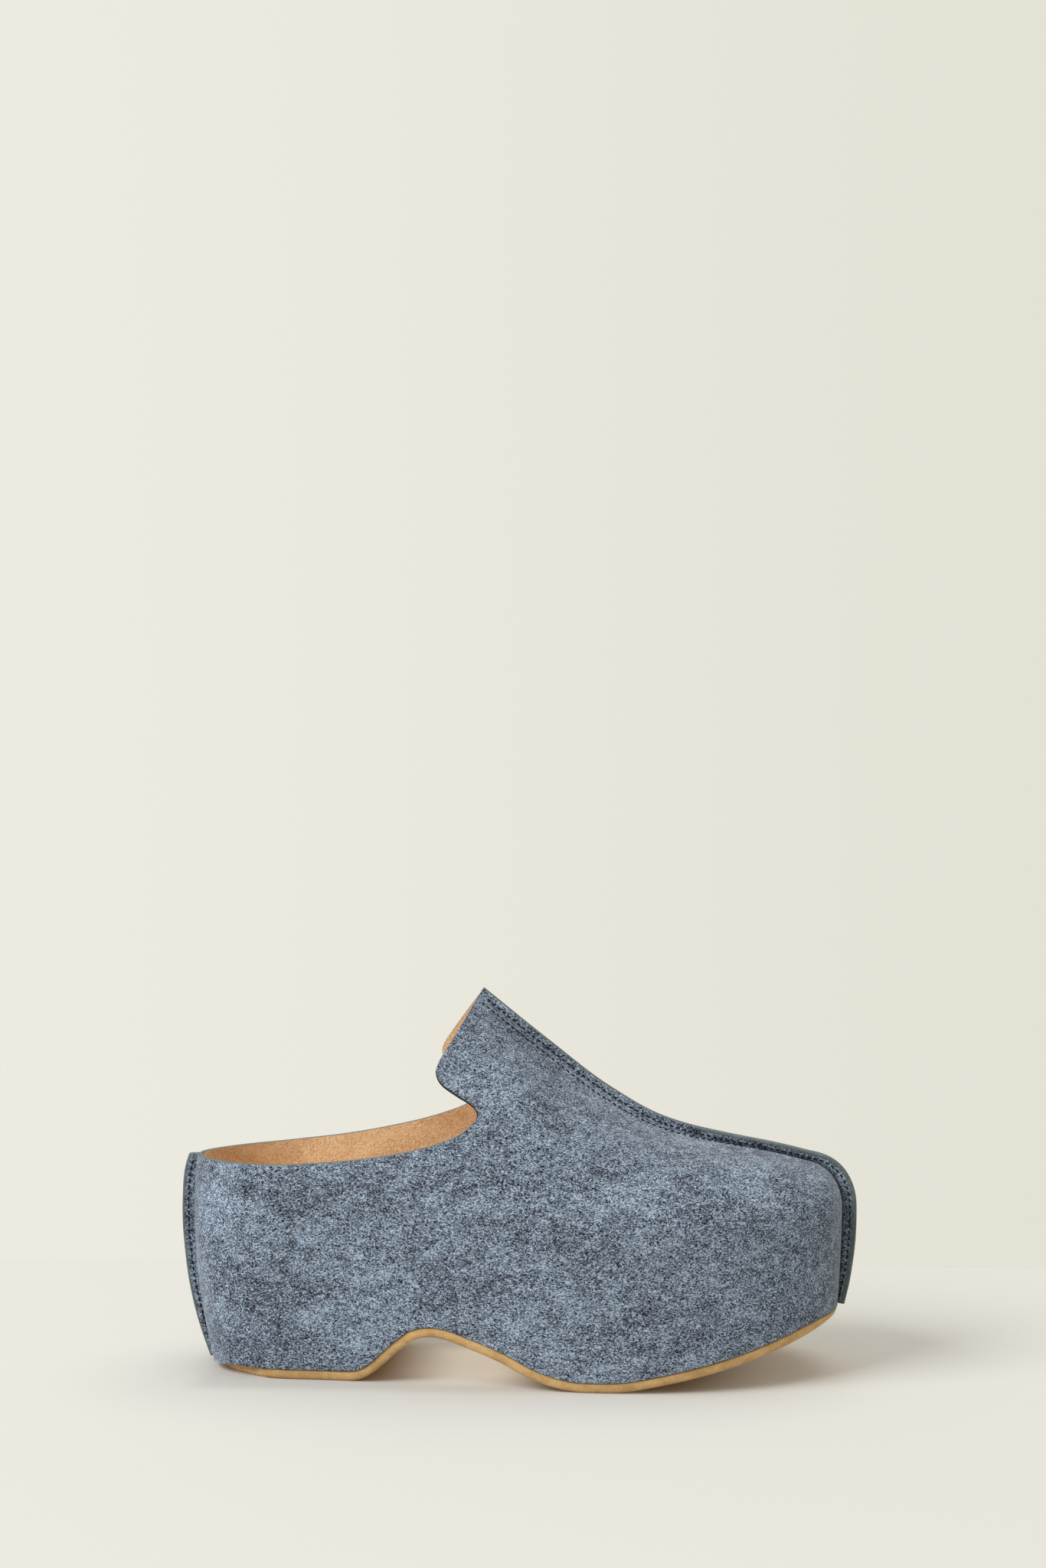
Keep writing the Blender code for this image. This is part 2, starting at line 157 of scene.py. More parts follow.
# Outsole: a sheet of tan crepe rubber cut to the outline and glued under the platform. It follows the heel,
# the arch, the rocker and the toe, and its cut edge is a little ragged along the floor side.
BODY_LENGTH = 265.0
HEEL_END, TOE_END = -BODY_LENGTH / 2, BODY_LENGTH / 2
BALL_HALF_WIDTH = 48.0
SEAM_THICK = 4.4
SEAM_FILLET = 2.0
SEAM_ROOT = SEAM_THICK / 2 + SEAM_FILLET
SIDE_TAPER = 0.03
FULL_WIDTH_HEIGHT = 60.0
SOLE_THICK, SOLE_TIP_THICK, SOLE_SKIVE_START = 3.9, 1.2, 112.0
SOLE_SIDE_INSET, SOLE_HEEL_INSET = 0.4, 3.4
SOLE_HEEL_INSET_START, SOLE_HEEL_INSET_END = -96.0, -112.0
SLOPE_STEP = 0.5
SMOOTH_ANGLE_DEG = 40.0
RAGGED_SEED = 7
Steps = namedtuple("Steps", "heel middle toe")
SOLE_STEPS, SOLE_ROWS_ACROSS = Steps(30, 110, 56), 24
CREPE_LIGHT = (0.65, 0.42, 0.188, 1.0)
CREPE_DARK = (0.43, 0.25, 0.098, 1.0)
CREPE_GRAIN = Grain(1.1, 4.0, 0.65, 0.4)
CREPE_CLOUD = Grain(9.0, 3.0, 0.55, stretch=(1.0, 1.0, 1.6))
CREPE_GRAIN_SHARE = 0.35
CREPE_SPAN = (0.30, 0.68)
CREPE_SURFACE = Surface(0.62, 0.85, 0.35, 0.7)

# Half widths of both sides, height of the shoulder, and powers of the roof's curve across and upward.
Section = namedtuple("Section", "x outer inner shoulder across upward")
SECTIONS = (
    Section(HEEL_END, 32.0, 32.0, 92.0, 2.0, 2.0),
    Section(-90.0, 32.5, 32.5, 88.0, 2.0, 2.0),
    Section(-50.0, 37.0, 35.0, 79.0, 1.6, 2.0),
    Section(-15.0, 43.0, 39.5, 70.0, 1.3, 2.0),
    Section(20.0, 47.0, 45.0, 64.0, 1.3, 2.0),
    Section(50.0, BALL_HALF_WIDTH, BALL_HALF_WIDTH, 60.0, 1.6, 2.1),
    Section(80.0, 46.0, BALL_HALF_WIDTH, 58.0, 2.2, 2.4),
    Section(112.0, 44.0, 47.0, 60.0, 2.7, 2.6),
    Section(TOE_END, 42.0, 46.0, 66.0, 2.5, 2.4),
)
# The place where a round end starts, and a power that is higher where its corners are fuller.
Cap = namedtuple("Cap", "start square")
HEEL_CAP = Cap(-90.0, 2.3)
HeelPlan = namedtuple("HeelPlan", "z square")
HEEL_PLANS = (
    HeelPlan(0.0, HEEL_CAP.square),
    HeelPlan(54.0, HEEL_CAP.square),
    HeelPlan(84.0, 1.6),
    HeelPlan(110.0, 1.6),
)
TOE_CAP = {"outer": Cap(56.0, 2.1), "inner": Cap(72.0, 2.3)}
# How far heel and toe stand back from the full length, by height.
EndLine = namedtuple("EndLine", "z heel toe")
END_LINES = (
    EndLine(0.0, 8.7, 3.0),
    EndLine(10.0, 6.6, 2.6),
    EndLine(25.0, 3.5, 1.9),
    EndLine(42.0, 1.2, 0.7),
    EndLine(62.0, 0.0, 0.0),
    EndLine(76.0, 0.1, 0.0),
    EndLine(90.0, 1.3, 0.0),
)
Knot = namedtuple("Knot", "x z")
SOLE_LINE = (
    Knot(HEEL_END, 0.0),
    Knot(-66.5, 0.0),
    Knot(-62.5, 0.4),
    Knot(-59.0, 1.6),
    Knot(-55.0, 4.2),
    Knot(-47.0, 11.4),
    Knot(-43.0, 14.8),
    Knot(-39.0, 17.6),
    Knot(-35.5, 18.9),
    Knot(-31.5, 19.3),
    Knot(-27.0, 18.7),
    Knot(-21.0, 16.9),
    Knot(-6.0, 11.4),
    Knot(8.0, 4.6),
    Knot(15.0, 2.2),
    Knot(21.0, 0.8),
    Knot(27.5, 0.1),
    Knot(33.0, 0.0),
    Knot(40.0, 0.2),
    Knot(47.0, 0.9),
    Knot(57.0, 2.7),
    Knot(82.0, 8.1),
    Knot(108.0, 16.1),
    Knot(TOE_END, 25.4),
)
# Outlines of the sheet by share of its thickness, each with its inset and how far it is torn in at random.
SoleRing = namedtuple("SoleRing", "share inset ragged")
SOLE_RINGS = (
    SoleRing(0.0, 1.17, 0.0),
    SoleRing(0.13, 0.405, 0.3),
    SoleRing(0.3, 0.0, 0.3),
    SoleRing(0.6, 0.0, 0.12),
    SoleRing(0.9, 0.05, 0.0),
    SoleRing(1.0, 0.45, 0.0),
)
SIDES = {"outer": -1.0, "inner": 1.0}


def eased(share):
    """A share kept between 0 and 1, with soft ends."""
    share = np.clip(share, 0.0, 1.0)
    return share * share * (3 - 2 * share)


def hermite(t, start, leaving, end, arriving):
    """A cubic curve from start to end, with the slopes that it leaves and arrives with."""
    return (
        (1 + 2 * t) * (1 - t) ** 2 * start
        + t * (1 - t) ** 2 * leaving
        + t * t * (3 - 2 * t) * end
        - t * t * (1 - t) * arriving
    )


def through(knots):
    """A smooth curve through (place, value) knots that doesn't overshoot them."""
    places = np.array([knot[0] for knot in knots], float)
    values = np.array([knot[1] for knot in knots], float)
    slopes = np.diff(values) / np.diff(places)
    tangents = np.concatenate([slopes[:1], np.zeros(len(slopes) - 1), slopes[-1:]])
    for i in range(1, len(slopes)):
        before, after = slopes[i - 1], slopes[i]
        if before * after > 0:
            tangents[i] = 2 * before * after / (before + after)

    def value(place):
        if place <= places[0]:
            return values[0] + tangents[0] * (place - places[0])
        if place >= places[-1]:
            return values[-1] + tangents[-1] * (place - places[-1])
        i = int(np.searchsorted(places, place, side="right")) - 1
        step = places[i + 1] - places[i]
        t = (place - places[i]) / step
        return hermite(t, values[i], step * tangents[i], values[i + 1], step * tangents[i + 1])

    return value


width = {side: through([(s.x, getattr(s, side)) for s in SECTIONS]) for side in SIDES}
sole_bottom = through(SOLE_LINE)
heel_inset = through([(e.z, e.heel) for e in END_LINES])
toe_inset = through([(e.z, e.toe) for e in END_LINES])
heel_square = through(HEEL_PLANS)


def sole_top(x):
    """Top of the rubber sheet, skived at the toe tip."""
    slope = (sole_bottom(x + SLOPE_STEP) - sole_bottom(x - SLOPE_STEP)) / (2 * SLOPE_STEP)
    skived = max(0.0, (x - SOLE_SKIVE_START) / (TOE_END - SOLE_SKIVE_START))
    thick = SOLE_THICK + (SOLE_TIP_THICK - SOLE_THICK) * skived**2
    return sole_bottom(x) + thick * math.hypot(1.0, slope)


def stations(steps):
    """Places along the length, closer together at the round ends."""
    heel, toe = HEEL_CAP.start, TOE_CAP["outer"].start
    turns = [math.pi / 2 * i / steps.heel for i in range(steps.heel)]
    places = [HEEL_END + (heel - HEEL_END) * (1 - math.cos(turn)) for turn in turns]
    places += [heel + (toe - heel) * i / steps.middle for i in range(steps.middle)]
    turns = [math.pi / 2 * i / steps.toe for i in range(steps.toe + 1)]
    return places + [toe + (TOE_END - toe) * math.sin(turn) for turn in turns]


def half_width(side, station, z):
    """Half width of the plan with its rounded ends. The heel is more pointed towards the collar."""
    cap = TOE_CAP[side]
    full = width[side](station)
    if station < HEEL_CAP.start:
        t, square = (HEEL_CAP.start - station) / (HEEL_CAP.start - HEEL_END), heel_square(z)
    elif station > cap.start:
        t, square = (station - cap.start) / (TOE_END - cap.start), cap.square
    else:
        return full
    return SEAM_ROOT + (full - SEAM_ROOT) * max(0.0, 1 - t**square) ** (1 / square)


def wall_point(side, station, z):
    """Point of the upright outer wall at a height."""
    share = (station - HEEL_END) / BODY_LENGTH
    heel, toe = HEEL_END + heel_inset(z), TOE_END - toe_inset(z)
    taper = SIDE_TAPER * (max(0.0, FULL_WIDTH_HEIGHT - z) / FULL_WIDTH_HEIGHT) ** 2
    half = SEAM_ROOT + (half_width(side, station, z) - SEAM_ROOT) * (1 - taper)
    return np.array([heel + share * (toe - heel), SIDES[side] * half, z])


def plan_ring(places, height_at, inset_at):
    """Closed outline in plan at heights given by place, moved inwards square to itself."""
    ring = [wall_point("outer", place, height_at(place)) for place in places]
    ring += [wall_point("inner", place, height_at(place)) for place in reversed(places)]
    ring = np.array(ring)
    along = np.roll(ring, -1, axis=0) - np.roll(ring, 1, axis=0)
    inward = np.stack([-along[:, 1], along[:, 0]], axis=1)
    inward /= np.linalg.norm(inward, axis=1, keepdims=True)
    insets = np.array([inset_at(x) for x in ring[:, 0]])
    ring[:, :2] += inward * insets[:, None]
    ring[:, 2] = [height_at(x) for x in ring[:, 0]]
    return ring


def pick(piece):
    """Selects one object alone and makes it active, for the operators that follow."""
    bpy.ops.object.select_all(action="DESELECT")
    piece.select_set(True)
    bpy.context.view_layer.objects.active = piece


def new_piece(name, points, faces, finishes):
    """An object with its place in its mesh, its faces pointing out and its shading smooth."""
    mesh = bpy.data.meshes.new(name)
    mesh.from_pydata([tuple(point) for point in np.asarray(points) * MM], [], faces)
    piece = bpy.data.objects.new(name, mesh)
    bpy.context.scene.collection.objects.link(piece)
    pick(piece)
    bpy.ops.object.mode_set(mode="EDIT")
    bpy.ops.mesh.select_all(action="SELECT")
    bpy.ops.mesh.normals_make_consistent(inside=False)
    bpy.ops.object.mode_set(mode="OBJECT")
    for finish in finishes:
        mesh.materials.append(finish)
    bpy.ops.object.shade_smooth_by_angle(angle=math.radians(SMOOTH_ANGLE_DEG))
    return piece


def slab(name, rings, finish, across):
    """A sheet between closed rings, its first and last faces filled from side to side."""
    count = len(rings[0])
    points = np.concatenate(rings)
    faces = []
    for low in range(len(rings) - 1):
        for i in range(count):
            j = (i + 1) % count
            faces.append((low * count + i, low * count + j, (low + 1) * count + j, (low + 1) * count + i))
    for start in (0, (len(rings) - 1) * count):
        near = [start + i for i in range(count // 2)]
        far = [start + count - 1 - i for i in range(count // 2)]
        ends, others = points[near[1:-1]], points[far[1:-1]]
        rows = [near[1:-1]]
        for step in range(1, across):
            rows.append([len(points) + i for i in range(len(ends))])
            points = np.concatenate([points, ends + (others - ends) * step / across])
        rows.append(far[1:-1])
        for row, after in zip(rows, rows[1:]):
            for i in range(len(ends) - 1):
                faces.append((row[i], row[i + 1], after[i + 1], after[i]))
        for end in (0, -1):
            faces.append((near[end], *(row[end] for row in rows), far[end]))
    return new_piece(name, points, faces, [finish])


def sole_inset(x):
    """The rubber stands back a little from the felt, and further round the heel."""
    back = (SOLE_HEEL_INSET_START - x) / (SOLE_HEEL_INSET_START - SOLE_HEEL_INSET_END)
    return SOLE_SIDE_INSET + SOLE_HEEL_INSET * eased(back)


crepe, wire, shader = new_finish("crepe_rubber", {"Specular IOR Level": 0.35})
grain, cloud = wire.noise(CREPE_GRAIN), wire.noise(CREPE_CLOUD)
mixed = wire.between(grain * CREPE_GRAIN_SHARE + cloud * (1 - CREPE_GRAIN_SHARE), CREPE_SPAN)
set_look(wire, shader, wire.blend(mixed, CREPE_DARK, CREPE_LIGHT), grain, grain, CREPE_SURFACE)

rings = []
for ring in SOLE_RINGS:
    rings.append(plan_ring(
        stations(SOLE_STEPS),
        lambda x: (1 - ring.share) * sole_bottom(x) + ring.share * sole_top(x),
        lambda x: sole_inset(x) + ring.inset,
    ))
draw = random.Random(RAGGED_SEED)
for outline, ring in zip(rings, SOLE_RINGS):
    middle = outline[:, :2].mean(axis=0)
    for point in outline:
        inward = middle - point[:2]
        point[:2] += inward / np.linalg.norm(inward) * draw.random() * ring.ragged
outsole = slab("crepe_outsole", rings, crepe, SOLE_ROWS_ACROSS)
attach(outsole, "root")
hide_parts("outsole")

# Insole: the footbed, a soft board covered in the same tan suede as the lining. It is laid in on top of the
# platform with its edge rolled under, and it dips a little under heel and ball.
FELT_WALL = 2.6
GAP = 0.3
INSOLE_THICK = 3.0
INSOLE_EDGE_ROUND = 1.2
INSOLE_STEPS, INSOLE_ROWS_ACROSS = Steps(20, 50, 28), 20
SUEDE_LIGHT = (0.92, 0.655, 0.40, 1.0)
SUEDE_DARK = (0.66, 0.40, 0.205, 1.0)
NAP = Grain(1.0, 3.0, 0.7, 0.6)
SUEDE_CLOUD = Grain(14.0, 3.0, 0.6, stretch=(1.0, 1.0, 1.8))
NAP_SHARE = 0.65
SUEDE_SPAN = (0.34, 0.62)
SUEDE_SURFACE = Surface(0.85, 1.0, 0.6, 1.0)
FOOTBED = (
    Knot(HEEL_END, 51.0),
    Knot(-80.0, 50.0),
    Knot(-30.0, 48.0),
    Knot(10.0, 43.5),
    Knot(45.0, 40.5),
    Knot(85.0, 42.0),
    Knot(TOE_END, 48.0),
)
InsoleRing = namedtuple("InsoleRing", "lift inset")
INSOLE_RINGS = (
    InsoleRing(0.0, INSOLE_EDGE_ROUND),
    InsoleRing(0.4, 0.3),
    InsoleRing(1.2, 0.0),
    InsoleRing(INSOLE_THICK - 0.8, 0.0),
    InsoleRing(INSOLE_THICK - 0.25, 0.35),
    InsoleRing(INSOLE_THICK, INSOLE_EDGE_ROUND),
)
footbed = through(FOOTBED)

suede, wire, shader = new_finish("tan_suede", {
    "Sheen Weight": 0.25,
    "Sheen Roughness": 0.4,
    "Specular IOR Level": 0.15,
})
nap, cloud = wire.noise(NAP), wire.noise(SUEDE_CLOUD)
mixed = wire.between(nap * NAP_SHARE + cloud * (1 - NAP_SHARE), SUEDE_SPAN)
set_look(wire, shader, wire.blend(mixed, SUEDE_DARK, SUEDE_LIGHT), nap, nap, SUEDE_SURFACE)

rings = []
for ring in INSOLE_RINGS:
    rings.append(plan_ring(
        stations(INSOLE_STEPS),
        lambda x: footbed(x) + GAP + ring.lift,
        lambda x: FELT_WALL + GAP + ring.inset,
    ))
insole = slab("suede_insole", rings, suede, INSOLE_ROWS_ACROSS)
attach(insole, "root")
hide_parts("insole")

# Felt upper: two thick heathered felt panels that wrap foot and platform alike. They are sewn together with
# their edges standing out, up the toe, along the instep and down the heel, and the cut edges are painted.
FELT_THICK = 1.8
HEEL_EDGE_DROP, HEEL_EDGE_DROP_START = 2.4, -114.0
TOE_CORNER_DEPTH, TOE_CORNER_POWER = 13.0, 3
EDGE_PASSES = 6
GROOVE_SHARE = 0.7
SEAM_DOME = 0.9
FILLET_SHARE = 1 / 3
FILLET_ROWS, SIDE_ROWS, DOME_ROWS, INSTEP_PAINT_ROWS = 9, 3, 5, 2
WALL_ROWS, ROOF_ROWS, TEST_ROW = 26, 40, 2
FELT_STEPS = Steps(26, 80, 44)
FELT_LIGHT = (0.42, 0.525, 0.65, 1.0)
FELT_MIDDLE = (0.142, 0.172, 0.230, 1.0)
FELT_DARK = (0.014, 0.011, 0.018, 1.0)
FELT_PAINTED_SHADE = (0.010, 0.011, 0.015, 1.0)
FELT_LIGHT_SPAN, FELT_DARK_SPAN = (0.71, 0.825), (0.605, 0.72)
Strand = namedtuple("Strand", "weight grain")
FIBRE = Strand(0.58, Grain(0.55, 1.5, 0.7, 0.8, (0.62, 1.0, 1.0), (0.0, 22.0, 0.0)))
CROSS_FIBRE = Strand(0.52, Grain(0.42, 1.5, 0.7, 0.6, (0.66, 1.0, 1.0), (0.0, -35.0, 20.0)))
TUFT = Strand(0.19, Grain(3.4, 2.0, 0.6, 0.5, (0.6, 1.0, 1.0), (0.0, 12.0, 0.0)))
FELT_CLOUD = Strand(0.13, Grain(19.0, 2.0, 0.55, 0.0, (0.55, 1.0, 1.1), (0.0, 8.0, 0.0)))
FIBRE_BUMP_SHARE = 0.6
FELT_SURFACE = Surface(0.9, 1.0, 0.5, 0.9)
EDGE_PAINT = (0.085, 0.110, 0.112, 1.0)
EDGE_PAINT_WORN = (0.138, 0.168, 0.165, 1.0)
WEAR = Grain(1.6, 4.0, 0.6)
WEAR_SPAN = (0.42, 0.68)
PAINT_SURFACE = Surface(0.45, 0.65, 0.12, 0.5)
RIDGE = (
    Knot(HEEL_END, 186.0),
    Knot(-70.0, 184.0),
    Knot(-45.0, 170.0),
    Knot(-16.0, 146.9),
    Knot(10.0, 126.2),
    Knot(35.5, 107.4),
    Knot(55.5, 96.9),
    Knot(69.0, 92.8),
    Knot(82.0, 90.3),
    Knot(107.0, 85.4),
    Knot(TOE_END, 79.3),
)
# How far the panels rise beside the instep's seam, and how far out from it that reaches.
Rise = namedtuple("Rise", "x height reach")
RISES = (
    Rise(HEEL_END, 4.0, 6.0),
    Rise(5.0, 4.0, 6.0),
    Rise(37.0, 3.6, 6.0),
    Rise(62.0, 2.6, 7.0),
    Rise(82.0, 2.2, 8.0),
    Rise(107.0, 2.4, 9.0),
    Rise(TOE_END, 2.2, 9.0),
)
HeelRise = namedtuple("HeelRise", "z height")
HEEL_RISES = (
    HeelRise(0.0, 0.0),
    HeelRise(10.0, 0.2),
    HeelRise(110.0, 0.2),
)
HEEL_RISE_REACH = 6.0
# The raised seam by distance from its lower end: its height and lean, how deep its crease is, how much
# painted shade darkens the felt near its root, and how far down paint runs.
Flange = namedtuple("Flange", "distance height lean_deg crease shade paint")
TOE_FLANGE = (
    Flange(0.0, 3.2, 26.0, 1.9, 0.95, 0.9),
    Flange(10.0, 4.6, 27.0, 1.9, 0.95, 1.2),
    Flange(28.0, 6.0, 27.0, 1.9, 0.9, 1.3),
    Flange(40.0, 6.2, 24.0, 1.8, 0.85, 1.2),
    Flange(52.0, 5.6, 19.0, 1.5, 0.8, 0.9),
    Flange(66.0, 3.85, 15.0, 1.4, 0.75, 0.6),
    Flange(90.0, 3.85, 11.0, 1.2, 0.6, 0.4),
    Flange(120.0, 4.2, 3.0, 0.6, 0.25, 0.1),
    Flange(150.0, 4.3, -2.0, 0.0, 0.0, 0.05),
    Flange(190.0, 4.4, -2.0, 0.0, 0.0, 0.05),
)
HEEL_FLANGE = (
    Flange(0.0, 2.8, 6.0, 0.8, 0.25, 0.05),
    Flange(14.0, 4.4, 8.0, 0.8, 0.2, 0.15),
    Flange(36.0, 5.6, 9.0, 0.8, 0.15, 0.3),
    Flange(60.0, 6.0, 10.0, 0.8, 0.15, 0.4),
    Flange(72.0, 5.7, 10.0, 0.8, 0.15, 0.4),
    Flange(79.0, 5.0, 9.0, 0.7, 0.15, 0.3),
    Flange(85.0, 3.8, 8.0, 0.5, 0.1, 0.2),
    Flange(110.0, 2.9, 8.0, 0.0, 0.0, 0.05),
)
# Painted shade: how far up a seam's face the darkened felt reaches, and how dark and how wide the painted
# shade beside the toe's seam is, and where it starts.
SHADE_SHARE = 0.34
TOE_SHADE, TOE_SHADE_REACH = 0.45, 6.0
TOE_SHADE_START, TOE_SHADE_LENGTH = 100.0, 28.0
# Each fold runs between two places and pushes the felt out by its height, or in where that is negative.
Fold = namedtuple("Fold", "x0 z0 x1 z1 reach height")
FOLDS = {
    "outer": (
        Fold(62.0, 70.0, 126.0, 69.0, 9.0, 0.7),
        Fold(50.0, 46.0, 128.0, 48.0, 10.0, -0.8),
        Fold(60.0, 12.0, 112.0, 24.0, 13.0, 0.6),
        Fold(36.0, 82.0, 62.0, 71.0, 8.0, -0.8),
        Fold(-12.0, 74.0, 38.0, 69.0, 7.0, 0.5),
        Fold(-24.0, 111.0, 2.0, 90.0, 10.0, -1.5),
        Fold(-22.0, 140.0, 8.0, 121.0, 8.0, 0.6),
        Fold(-96.0, 76.0, -30.0, 82.0, 11.0, 0.5),
        Fold(-92.0, 48.0, -26.0, 46.0, 13.0, -0.7),
        Fold(-112.0, 9.0, -60.0, 8.0, 14.0, 0.6),
        Fold(-23.0, 52.0, -21.0, 27.0, 6.0, 0.5),
    ),
    "inner": (
        Fold(70.0, 68.0, 124.0, 66.0, 9.0, 0.6),
        Fold(54.0, 45.0, 126.0, 46.0, 10.0, -0.7),
        Fold(30.0, 84.0, 58.0, 72.0, 8.0, -0.7),
        Fold(-26.0, 112.0, 0.0, 92.0, 10.0, -1.2),
        Fold(-90.0, 47.0, -30.0, 45.0, 13.0, -0.6),
        Fold(-110.0, 9.0, -62.0, 8.0, 14.0, 0.5),
    ),
}
FOLD_SEAM_MARGIN, FOLD_EDGE_MARGIN = 9.0, 3.0
INSTEP_STARTS, INSTEP_LEAN_DEG = 112.0, 5.0
COLLAR = (
    Knot(-160.0, 85.2),
    Knot(-132.0, 85.2),
    Knot(-115.0, 85.4),
    Knot(-93.0, 86.2),
    Knot(-67.0, 88.9),
    Knot(-43.5, 93.3),
    Knot(-26.5, 98.5),
    Knot(-18.7, 103.0),
    Knot(-15.3, 107.6),
    Knot(-17.5, 111.4),
    Knot(-23.8, 115.3),
    Knot(-29.8, 119.6),
    Knot(-32.0, 124.4),
    Knot(-30.4, 129.0),
)
TONGUE_EDGE_END = Knot(-3.2, 170.0)
Tilt = namedtuple("Tilt", "x degrees")
COLLAR_TILTS = (
    Tilt(-160.0, 0.5),
    Tilt(-110.0, 0.6),
    Tilt(-43.5, 1.9),
    Tilt(-3.2, 1.9),
)
COLLAR_TURN_DEG = 2.5
TOPLINE_STEPS = 10
CUT_HALF_WIDTH, CUT_TOP = 80.0, 230.0

shoulder = through([(s.x, s.shoulder) for s in SECTIONS])
roof_across = through([(s.x, s.across) for s in SECTIONS])
roof_upward = through([(s.x, s.upward) for s in SECTIONS])
ridge = through(RIDGE)
rise_height = through([(rise.x, rise.height) for rise in RISES])
rise_reach = through([(rise.x, rise.reach) for rise in RISES])
heel_rise = through(HEEL_RISES)


def felt_edge(side, station):
    """Lower edge of the felt, just above the outsole and a little lower round the heel."""
    z = 0.0
    for _ in range(EDGE_PASSES):
        x = wall_point(side, station, z)[0]
        drop = max(0.0, (HEEL_EDGE_DROP_START - x) / (HEEL_EDGE_DROP_START - HEEL_END))
        z = sole_top(x) + GAP - HEEL_EDGE_DROP * math.sin(drop * math.pi / 2)
    return z


def panel_column(side, station, wall_rows, roof_rows):
    """Points up one column of a panel, from the felt's lower edge to the root of the front seam."""
    turn = shoulder(station)
    low = felt_edge(side, station)
    points = [wall_point(side, station, low + (turn - low) * i / wall_rows) for i in range(wall_rows)]
    base = wall_point(side, station, turn)
    cap = TOE_CAP[side]
    pulled = max(0.0, (station - cap.start) / (TOE_END - cap.start))
    crest_x = base[0] - TOE_CORNER_DEPTH * pulled**TOE_CORNER_POWER
    across, upward = roof_across(station), roof_upward(station)
    for i in range(roof_rows + 1):
        angle = math.pi / 2 * i / roof_rows
        out = max(0.0, math.cos(angle)) ** (2 / across)
        up = math.sin(angle) ** (2 / upward)
        x = base[0] + (crest_x - base[0]) * (1 - out)
        from_seam = (abs(base[1]) - SEAM_ROOT) * out
        crest = ridge(x) + rise_height(x) * math.exp(-from_seam / rise_reach(x))
        points.append(np.array([x, SIDES[side] * (SEAM_ROOT + from_seam), turn + (crest - turn) * up]))
    if station < HEEL_CAP.start:
        for point in points:
            point[0] -= heel_rise(point[2]) * math.exp(-(abs(point[1]) - SEAM_ROOT) / HEEL_RISE_REACH)
    return points


def grid_normals(grid):
    """Outward unit normal at each point of a panel's grid. A row low on the wall tells which way is out."""
    faces = np.cross(grid[1:, 1:] - grid[:-1, :-1], grid[:-1, 1:] - grid[1:, :-1])
    normals = np.zeros_like(grid)
    for across in (slice(None, -1), slice(1, None)):
        for up in (slice(None, -1), slice(1, None)):
            normals[across, up] += faces
    normals /= np.linalg.norm(normals, axis=2, keepdims=True)
    middle = len(grid) // 2, TEST_ROW
    points_out = normals[middle][1] * grid[middle][1] > 0
    return normals if points_out else -normals


def seam_path(columns, rows):
    """Grid indices along the seams: up the toe, back along the instep and down the heel."""
    up_toe = [(columns - 1, row) for row in range(rows)]
    back = [(column, rows - 1) for column in range(columns - 2, -1, -1)]
    down_heel = [(0, row) for row in range(rows - 2, -1, -1)]
    return up_toe + back + down_heel


def lengths_along(line):
    """Length of a line up to each of its points."""
    return np.concatenate([[0.0], np.cumsum(np.linalg.norm(np.diff(line, axis=0), axis=1))])


def seam_profile(spine):
    """The flange table's row for each point of the seam's root, and the way that the seam stands there."""
    from_toe = lengths_along(spine)
    from_heel = from_toe[-1] - from_toe
    tangents = np.gradient(spine, axis=0)
    outward = np.stack([tangents[:, 1], -tangents[:, 0]], axis=1)
    outward /= np.linalg.norm(outward, axis=1, keepdims=True)
    curves = {}
    for table in (TOE_FLANGE, HEEL_FLANGE):
        for key in Flange._fields[1:]:
            curves[table, key] = through([(row.distance, getattr(row, key)) for row in table])
    profile = []
    for toe, heel in zip(from_toe, from_heel):
        table, place = TOE_FLANGE, min(toe, TOE_FLANGE[-1].distance)
        if heel < HEEL_FLANGE[-1].distance:
            table, place = HEEL_FLANGE, heel
        profile.append(Flange(toe, *(curves[table, key](place) for key in Flange._fields[1:])))
    return profile, outward


def flange_rows(row):
    """Half thickness and height of the raised seam's points, from its root to the middle of its dome."""
    half = SEAM_THICK / 2
    fillet = min(SEAM_FILLET, row.height * FILLET_SHARE)
    points = []
    for step in range(1, FILLET_ROWS + 1):
        angle = math.pi / 2 * step / FILLET_ROWS
        sunk = row.crease * math.sin(2 * angle)
        points.append((half + SEAM_FILLET * (1 - math.sin(angle)), fillet * (1 - math.cos(angle)) - sunk))
    top = row.height - SEAM_DOME
    bare = top - row.paint
    points += [(half, fillet + (bare - fillet) * step / SIDE_ROWS) for step in range(1, SIDE_ROWS + 1)]
    for step in range(DOME_ROWS):
        angle = math.pi / 2 * step / DOME_ROWS
        points.append((half * math.cos(angle), top + SEAM_DOME * math.sin(angle)))
    return points


def seam_points(side, root, row, outward):
    """The raised seam's points on one side, from above its root to its edge."""
    lean = math.tan(math.radians(row.lean_deg))
    points = []
    for half, high in flange_rows(row):
        x, z = root + high * outward
        points.append((x, SIDES[side] * half - high * lean, z))
    return points


